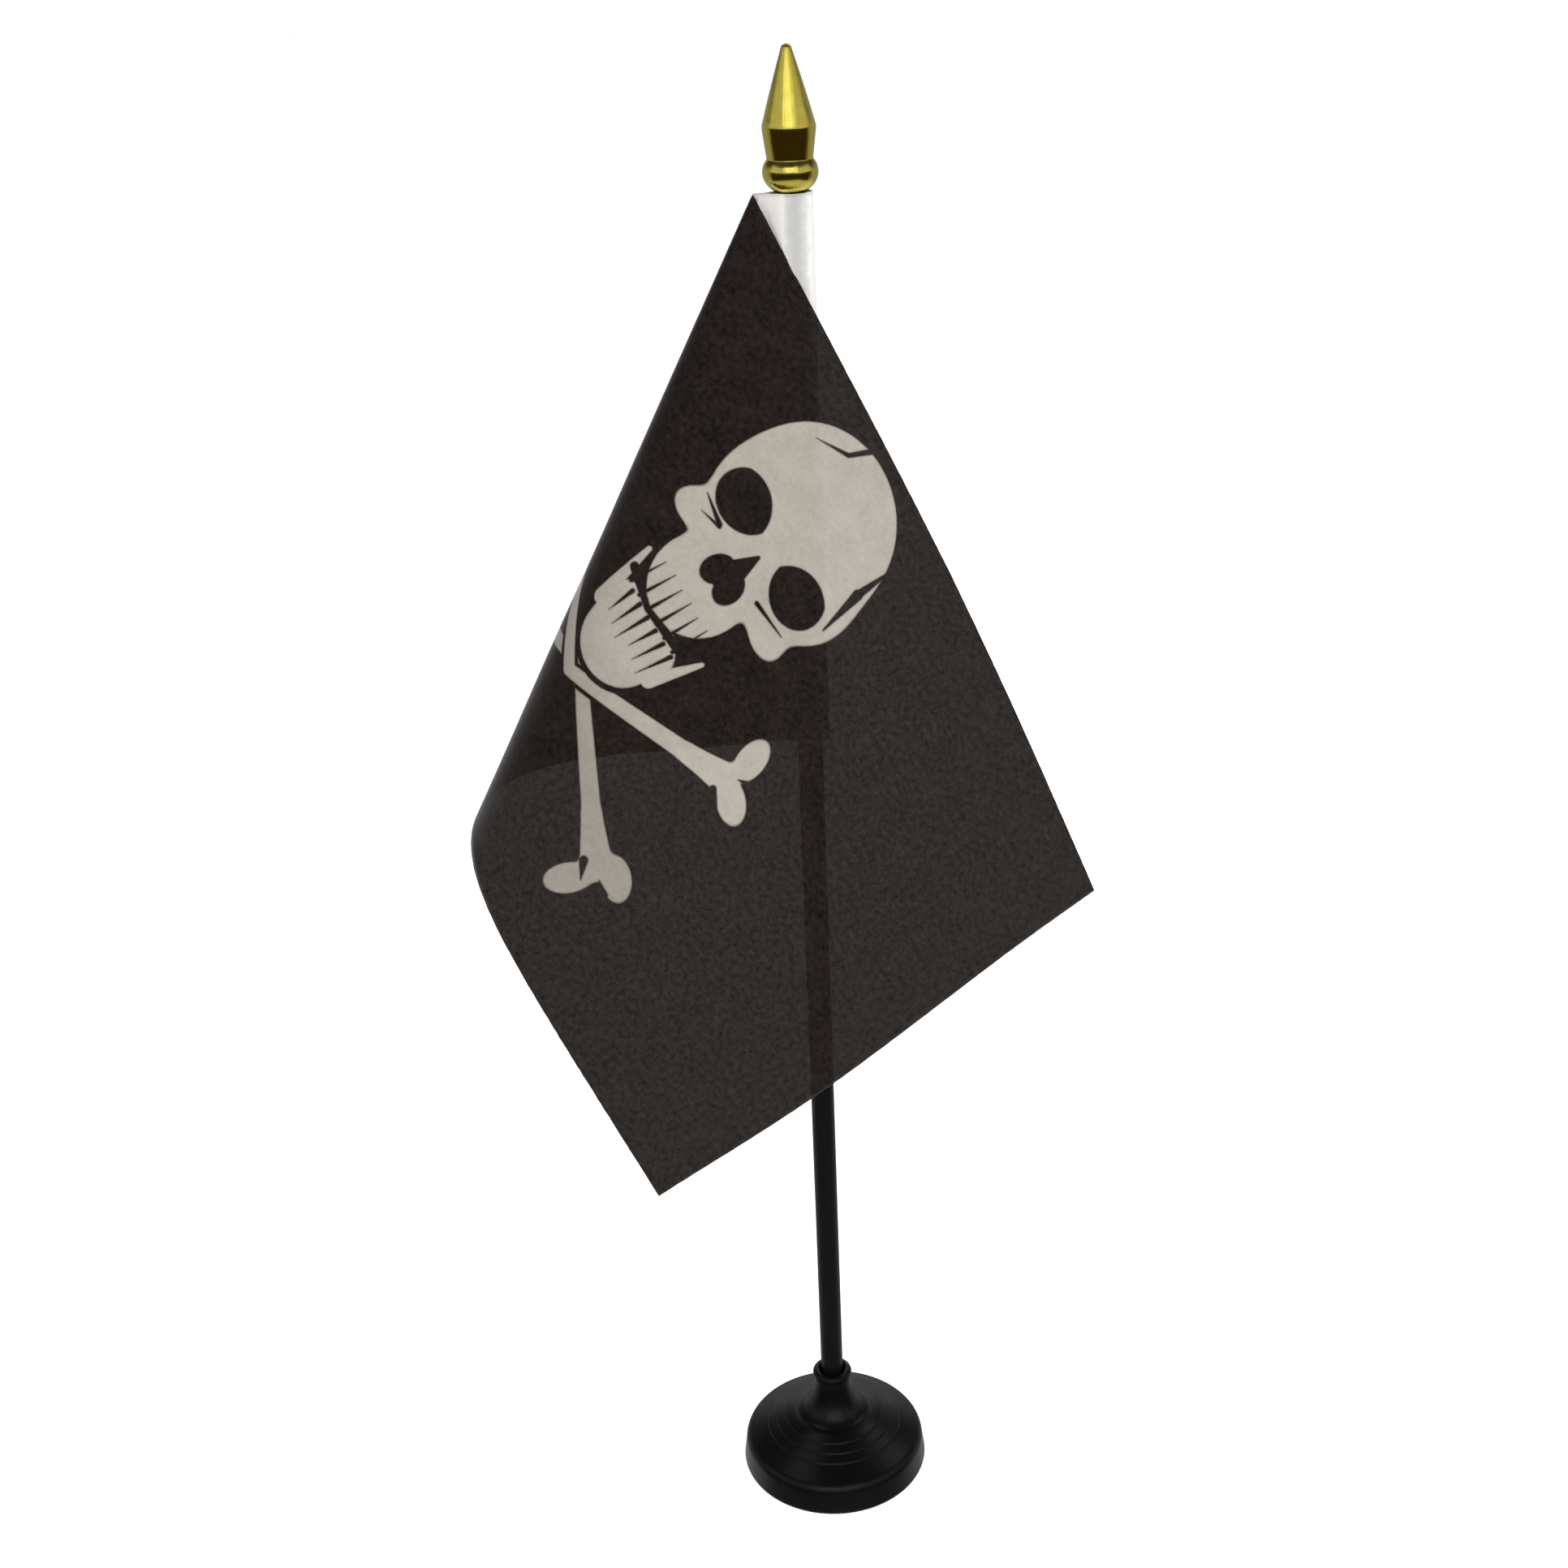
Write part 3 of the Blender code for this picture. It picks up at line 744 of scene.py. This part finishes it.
def hang(across, down):
    """Where a point of the flat cloth hangs, for its place across and down from the corner."""
    if across < 0.0:
        return TOP_CORNER + across * OUTWARDS - Vector((0.0, 0.0, down))
    angle = math.atan2(across, down)
    spot = angle / WIDEST_ANGLE * FINE_ANGLES
    first = min(int(spot), FINE_ANGLES - 1)
    direction = FALL_LINES[first].lerp(FALL_LINES[first + 1], spot - first).normalized()
    share = min(1.0, angle / (2.0 * FOLD_AT))
    forward = LAYER_STEP * share * share * (3.0 - 2.0 * share)
    return TOP_CORNER + Vector((0.0, -forward, 0.0)) + math.hypot(across, down) * direction


def top_edge(across):
    """Where the top edge was cut, down from its straight line: it bows up, so below zero."""
    share = max(0.0, across) / FLAG_LENGTH
    return -TOP_BOW * math.sin(math.pi * share ** 1.15)


def fly_edge(down):
    """How far the fly edge was cut beyond its straight line, in one slow wave down it."""
    share = down / FLAG_HEIGHT
    return FLY_SPARE - FLY_WAVE * math.cos(2.0 * math.pi * (share - 0.23)) * (1.0 - share ** 4)


def flag_mesh():
    """The whole cloth on a flat grid that is finer near the top corner, hung point by point."""
    columns = round(FLAG_LENGTH / CLOTH_CELL)
    rows = round(FLAG_HEIGHT / CLOTH_CELL)
    mesh = bpy.data.meshes.new("printed_flag")
    shape = bmesh.new()
    uv = shape.loops.layers.uv.new("cloth")
    grid = []
    flat = []
    for column in range(-HEM_CELLS, columns + 1):
        line = []
        marks = []
        for row in range(rows + 1):
            share = max(0.0, column / columns) ** CELL_GROWTH
            depth = (row / rows) ** CELL_GROWTH
            across = share * (FLAG_LENGTH + fly_edge(depth * FLAG_HEIGHT))
            if column < 0:
                across = column / HEM_CELLS * HEM_WIDTH
            rise = top_edge(across)
            sag = FOOT_SAG * math.sin(math.pi * share)
            down = rise + depth * (FLAG_HEIGHT + sag - rise)
            if column <= 0:
                down = max(down, CORNER_RELIEF)
            ragged = FRAYED_EDGE * noise.noise(Vector((across * 900.0, down * 900.0, 0.0)))
            if row in (0, rows):
                down += ragged
            if column == columns:
                across += ragged
            line.append(shape.verts.new(hang(across, down)))
            marks.append((across / FLAG_LENGTH, 1.0 - down / FLAG_LENGTH))
        grid.append(line)
        flat.append(marks)
    for i in range(len(grid) - 1):
        for row in range(rows):
            face = shape.faces.new((grid[i][row], grid[i][row + 1], grid[i + 1][row + 1], grid[i + 1][row]))
            spots = ((i, row), (i, row + 1), (i + 1, row + 1), (i + 1, row))
            for corner, (column, level) in zip(face.loops, spots):
                corner[uv].uv = flat[column][level]
    shape.normal_update()
    ripple(shape)
    shape.to_mesh(mesh)
    shape.free()
    mesh.shade_smooth()
    return mesh


def ripple(shape):
    """Soft unevenness of the hanging cloth, along its own normal, away from its top corner."""
    for vertex in shape.verts:
        away = (vertex.co - TOP_CORNER).length
        ease = min(1.0, max(0.0, (away - 0.03) / 0.08))
        vertex.co += vertex.normal * ease * RIPPLE_DEPTH * noise.noise(vertex.co * 24.0)


def disc(finish, where, centre, radii, turn=0.0):
    """Distance in mm to an ellipse's edge, below zero inside it."""
    centred = finish.add("ShaderNodeMapping", {"vector_type": 'TEXTURE'}, {
        "Vector": where, "Location": (*centre, 0.0), "Rotation": (0.0, 0.0, math.radians(turn)),
        "Scale": (*radii, 1.0)})
    far = finish.add("ShaderNodeVectorMath", {"operation": 'LENGTH'}, {0: centred}, "Value")
    return (far - 1.0) * min(radii)


def stroke(finish, where, start, end, widths):
    """Distance in mm to the edge of a straight stroke that tapers between two half widths."""
    start, end = Vector((*start, 0.0)), Vector((*end, 0.0))
    line = end - start
    from_start = finish.add("ShaderNodeVectorMath", {"operation": 'SUBTRACT'}, {0: where, 1: start})
    share = finish.add("ShaderNodeVectorMath", {"operation": 'DOT_PRODUCT'}, {
        0: from_start, 1: line / line.length_squared}, "Value").clamped()
    nearest = finish.add("ShaderNodeVectorMath", {"operation": 'SCALE'}, {0: line, "Scale": share})
    far = finish.add("ShaderNodeVectorMath", {"operation": 'DISTANCE'}, {0: from_start, 1: nearest}, "Value")
    return far - (share * (widths[1] - widths[0]) + widths[0])


def joined(*shapes):
    """The distance to several shapes taken as one. The next three work on such distances too."""
    result = shapes[0]
    for shape in shapes[1:]:
        result = result.lowest(shape)
    return result


def common(first, second):
    return first.highest(second)


def cut(shape, cutter):
    return shape.highest(cutter * -1.0)


def melted(first, second, reach):
    return first.math('SMOOTH_MIN', second, reach)


def printed_mark(finish, where):
    """Distance in mm to the mark's edge: a skull with an open jaw, over two crossed bones."""
    mirror = finish.add("ShaderNodeVectorMath", {"operation": 'ABSOLUTE'}, {0: where})
    dome = melted(disc(finish, where, (-1.0, 27.0), (26.0, 25.5)),
                  disc(finish, where, (1.5, 36.0), (27.0, 19.0)), 8.0)
    cheeks = disc(finish, mirror, (17.5, 50.5), (8.0, 5.0), 20.0)
    upper = disc(finish, where, (-1.5, 60.0), (13.5, 14.0))
    face = melted(melted(dome, cheeks, 6.0), upper, 5.0)
    chin = melted(disc(finish, where, (1.0, 86.5), (11.5, 9.5)),
                  disc(finish, where, (0.0, 80.0), (14.0, 8.0)), 4.0)
    arms = joined(stroke(finish, where, (-16.0, 67.0), (-12.0, 84.0), (0.7, 2.2)),
                  stroke(finish, where, (16.5, 70.0), (13.0, 84.0), (0.6, 2.0)))
    jaw = joined(chin, arms)
    mouth = joined(stroke(finish, where, (-14.0, 72.5), (-3.0, 75.0), (1.3, 0.9)),
                   stroke(finish, where, (-3.0, 75.0), (13.0, 73.0), (0.9, 1.6)))
    teeth = []
    for i in range(6):
        x = -11.0 + 4.1 * i
        teeth.append(stroke(finish, where, (x, 65.0 - 0.5 * (i % 2)), (x * 1.03, 75.0), (0.15, 0.65)))
        root = 84.0 + i % 3
        teeth.append(stroke(finish, where, (x * 0.95 + 1.6, 76.0), (x * 0.85 + 1.6, root), (0.7, 0.1)))
    sockets = common(disc(finish, mirror, (14.0, 38.8), (9.3, 8.0), 14.0),
                     disc(finish, mirror, (15.0, 42.0), (10.5, 9.8)))
    nose = joined(disc(finish, mirror, (2.9, 54.2), (3.9, 5.0), -14.0),
                  stroke(finish, where, (0.0, 43.5), (0.0, 53.0), (0.7, 4.4)))
    hollows = joined(stroke(finish, where, (-21.0, 47.0), (-12.5, 48.2), (0.2, 0.8)),
                     stroke(finish, where, (-18.0, 50.5), (-12.0, 48.5), (0.1, 0.6)),
                     stroke(finish, where, (10.0, 49.5), (21.0, 48.0), (0.7, 0.2)))
    cracks = joined(stroke(finish, where, (-7.5, 0.5), (-10.5, 8.5), (0.9, 0.7)),
                    stroke(finish, where, (-10.5, 8.5), (-19.0, 14.5), (0.7, 0.1)),
                    stroke(finish, where, (16.0, 4.5), (22.0, 13.0), (0.9, 0.3)),
                    stroke(finish, where, (22.0, 13.0), (22.5, 24.0), (0.4, 1.3)),
                    stroke(finish, where, (22.5, 24.0), (25.5, 37.0), (1.6, 0.3)))
    dark = joined(sockets, nose, hollows, cracks, mouth, *teeth)
    head = cut(joined(face, jaw), dark)
    bones = cut(crossed_bones(finish, mirror), joined(face, jaw) - 1.6)
    return joined(head, bones)


def crossed_bones(finish, mirror):
    """Two thigh bones with knuckled ends. Where they cross, one leaves a gap round the other."""
    low = melted(stroke(finish, mirror, (0.0, 97.0), (42.0, 117.0), (1.7, 2.6)),
                 stroke(finish, mirror, (36.0, 114.2), (47.5, 119.5), (2.0, 4.4)), 3.0)
    low_end = joined(disc(finish, mirror, (53.5, 117.0), (6.2, 3.9), 22.0),
                     disc(finish, mirror, (47.0, 127.5), (3.9, 6.6), 20.0))
    high = melted(stroke(finish, mirror, (0.0, 101.0), (42.0, 81.0), (1.7, 2.6)),
                  stroke(finish, mirror, (35.0, 84.4), (45.0, 79.5), (2.0, 4.2)), 3.0)
    high_end = joined(disc(finish, mirror, (45.0, 71.0), (3.9, 6.4), -20.0),
                      disc(finish, mirror, (51.5, 81.0), (6.4, 3.9), 18.0))
    low, high = melted(low, low_end, 2.5), melted(high, high_end, 2.5)
    nicks = joined(stroke(finish, mirror, (46.0, 83.5), (51.0, 85.2), (1.1, 0.3)),
                   stroke(finish, mirror, (51.0, 74.0), (47.5, 76.5), (1.2, 0.2)),
                   stroke(finish, mirror, (45.0, 121.8), (49.0, 125.0), (1.3, 0.2)),
                   stroke(finish, mirror, (55.5, 122.0), (51.5, 121.0), (1.3, 0.2)))
    return cut(joined(cut(low, high - 1.2), high), nicks)


MARK_MIDDLE = 80.0
DARKEST_INK = (0.0034, 0.0022, 0.0016, 1.0)
WORN_INK = (0.0195, 0.0140, 0.0108, 1.0)
GREYEST_MARK = (0.34, 0.31, 0.265, 1.0)
WHITEST_MARK = (0.46, 0.425, 0.375, 1.0)


def printed_cloth(name, mark_strength):
    """White polyester printed black round a mark left bare, thin enough to let some light by.

    The mark's middle line is MARK_MIDDLE mm from the hoist, and painted shade makes it dimmer below the
    skull.
    """
    finish = Finish(name, {"Sheen Weight": 0.25, "Sheen Roughness": 0.35, "Specular IOR Level": 0.25})
    threads, cloth = weave(finish, 2.0 * math.pi * FLAG_LENGTH / FLAG_THREAD_PITCH)
    length_mm = FLAG_LENGTH * 1000.0
    flat_mm = finish.add("ShaderNodeVectorMath", {"operation": 'MULTIPLY_ADD'}, {
        0: cloth, 1: (length_mm, -length_mm, 0.0), 2: (-MARK_MIDDLE, length_mm, 0.0)})
    slub = finish.noise(135.0, 5.0, 0.8, where=cloth)
    mottle = finish.noise(30.0, 3.0, where=cloth)
    edge = printed_mark(finish, flat_mm) + (slub - 0.5) * 0.5
    down_flag = finish.add("ShaderNodeSeparateXYZ", {}, {"Vector": flat_mm}, "Y")
    # Painted shade: the mark is made dimmer down the flag below the skull, where the cloth turns from the
    # light.
    shade_down_flag = 1.0 - ((down_flag - 86.0) * 0.04).clamped() * 0.32
    mark = (0.5 - edge * 2.2).clamped() * shade_down_flag * mark_strength
    shade = (threads * 0.16 + (slub - 0.5) * 3.6 + (mottle - 0.5) * 0.8 + 0.42).clamped()
    black = finish.blend(shade, DARKEST_INK, WORN_INK)
    pale = finish.blend((shade * 0.6 + mottle * 0.4).clamped(), GREYEST_MARK, WHITEST_MARK)
    finish.set("Base Color", finish.blend(mark, black, pale))
    finish.set("Roughness", 0.82 + threads * 0.1 - mark * 0.12)
    finish.set("Normal", finish.bump(threads * 0.4 + slub, 0.00008, 0.45))
    finish.set("Alpha", 0.905 - mark * 0.05 + threads * 0.01 - (slub - 0.5) * 0.13)
    return finish.material


flag = link("printed_flag", flag_mesh())
flag.data.materials.append(printed_cloth("printed_cloth_reverse", 0.92))
flag.data.materials.append(printed_cloth("printed_cloth_face", 1.0))
give_thickness(flag)
flag.modifiers["cloth"].material_offset = 1
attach(flag, "flag")
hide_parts("flag_panel")


# ---------------------------------------------------------------------------------------
# Seam: a lockstitch through both lips of the sleeve and the hem between them. One white
# thread shows on the front and one on the back, dipping into a needle hole at each stitch.

STITCH_LENGTH = 0.0025
THREAD_RADIUS = 0.00018
SEAM_INSET = 0.0010
THREAD_DIP = 1.6
THREAD_ARCH = 2.2
STITCH_REACH = 0.42


def stitch_tree():
    """A row of arched stitches up from the origin, and the identifiers of the tree's inputs."""
    tree = bpy.data.node_groups.new("lockstitch", 'GeometryNodeTree')
    sockets = {}
    for name, kind in (("Stitch length", 'NodeSocketFloat'), ("Thread radius", 'NodeSocketFloat'),
                       ("Stitches", 'NodeSocketInt'), ("Thread", 'NodeSocketMaterial')):
        made = tree.interface.new_socket(name, in_out='INPUT', socket_type=kind)
        sockets[name] = made.identifier
    tree.interface.new_socket("Geometry", in_out='OUTPUT', socket_type='NodeSocketGeometry')
    given = tree.nodes.new("NodeGroupInput")
    result = tree.nodes.new("NodeGroupOutput")

    def add(kind, inputs, **settings):
        node = tree.nodes.new(kind)
        for name, value in settings.items():
            setattr(node, name, value)
        for socket, value in inputs.items():
            if isinstance(value, bpy.types.NodeSocket):
                tree.links.new(value, node.inputs[socket])
            else:
                node.inputs[socket].default_value = value
        return node

    def number(operation, first, second):
        return add("ShaderNodeMath", {0: first, 1: second}, operation=operation).outputs[0]

    def point(y=0.0, z=0.0):
        return add("ShaderNodeCombineXYZ", {"Y": y, "Z": z}).outputs[0]

    length = given.outputs["Stitch length"]
    radius = given.outputs["Thread radius"]
    reach = number('MULTIPLY', length, STITCH_REACH)
    dip = number('MULTIPLY', radius, -THREAD_DIP)
    arch = number('MULTIPLY', radius, THREAD_ARCH)
    bow = add("GeometryNodeCurveQuadraticBezier", {
        "Resolution": 8, "Start": point(dip, number('MULTIPLY', reach, -1.0)),
        "Middle": point(arch), "End": point(dip, reach)})
    ring = add("GeometryNodeCurvePrimitiveCircle", {"Resolution": 8, "Radius": radius})
    stitch = add("GeometryNodeCurveToMesh", {
        "Curve": bow.outputs[0], "Profile Curve": ring.outputs[0], "Fill Caps": True})
    row = add("GeometryNodeMeshLine", {"Count": given.outputs["Stitches"], "Offset": point(0.0, length)})
    placed = add("GeometryNodeInstanceOnPoints", {"Points": row.outputs[0], "Instance": stitch.outputs[0]})
    real = add("GeometryNodeRealizeInstances", {"Geometry": placed.outputs[0]})
    threaded = add("GeometryNodeSetMaterial", {
        "Geometry": real.outputs[0], "Material": given.outputs["Thread"]})
    tree.links.new(threaded.outputs[0], result.inputs[0])
    return tree, sockets


def spun_thread():
    """White sewing thread: twisted plies and a little fuzz."""
    finish = Finish("spun_thread", {"Sheen Weight": 0.2, "Specular IOR Level": 0.3})
    ply = finish.add("ShaderNodeTexWave", {"bands_direction": 'DIAGONAL'}, {
        "Vector": finish.place, "Scale": 1400.0, "Distortion": 1.0})
    fuzz = finish.noise(3000.0, 2.0)
    finish.set("Base Color", finish.blend((ply * 0.6 + fuzz * 0.4).clamped(), (0.55, 0.55, 0.56, 1.0),
                                          (0.80, 0.80, 0.80, 1.0)))
    finish.set("Roughness", 0.70 + fuzz * 0.2)
    finish.set("Normal", finish.bump(ply + fuzz * 0.5, 0.00005))
    return finish.material


STITCH_TREE, STITCH_INPUTS = stitch_tree()
SPUN_THREAD = spun_thread()


def sew(name, node, side):
    """The row of stitches on the sleeve's front (-1) or back (+1) lip, as a plain mesh.

    The tree makes the back row. The front row is its mirror image, so its faces are turned back.
    """
    seam_length = SLEEVE_TOP - SLEEVE_FOOT - 2.0 * SEAM_INSET
    sewer = link(name + "_row", bpy.data.meshes.new(name + "_row"))
    modifier = sewer.modifiers.new("lockstitch", 'NODES')
    modifier.node_group = STITCH_TREE
    modifier[STITCH_INPUTS["Stitch length"]] = STITCH_LENGTH
    modifier[STITCH_INPUTS["Thread radius"]] = THREAD_RADIUS
    modifier[STITCH_INPUTS["Stitches"]] = int(seam_length / STITCH_LENGTH)
    modifier[STITCH_INPUTS["Thread"]] = SPUN_THREAD
    scene_now = bpy.context.evaluated_depsgraph_get()
    mesh = bpy.data.meshes.new_from_object(sewer.evaluated_get(scene_now))
    sewer.modifiers.remove(modifier)
    bpy.data.objects.remove(sewer)
    mesh.transform(Matrix.Scale(side, 4, Vector((0.0, 1.0, 0.0))))
    depth = LIP_OFFSET + 0.5 * CLOTH_THICKNESS
    start = Vector((SEAM_INSET - SEAM_RADIUS, side * depth, SLEEVE_FOOT + SEAM_INSET + 0.5 * STITCH_LENGTH))
    mesh.transform(Matrix.Rotation(SEAM_BEARING - math.pi, 4, 'Z') @ Matrix.Translation(start))
    if side < 0.0:
        mesh.flip_normals()
    mesh.shade_smooth()
    stitches = link(name, mesh)
    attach(stitches, "flag")
    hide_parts(node)


sew("needle_stitches", "needle_thread", -1.0)
sew("bobbin_stitches", "bobbin_thread", 1.0)
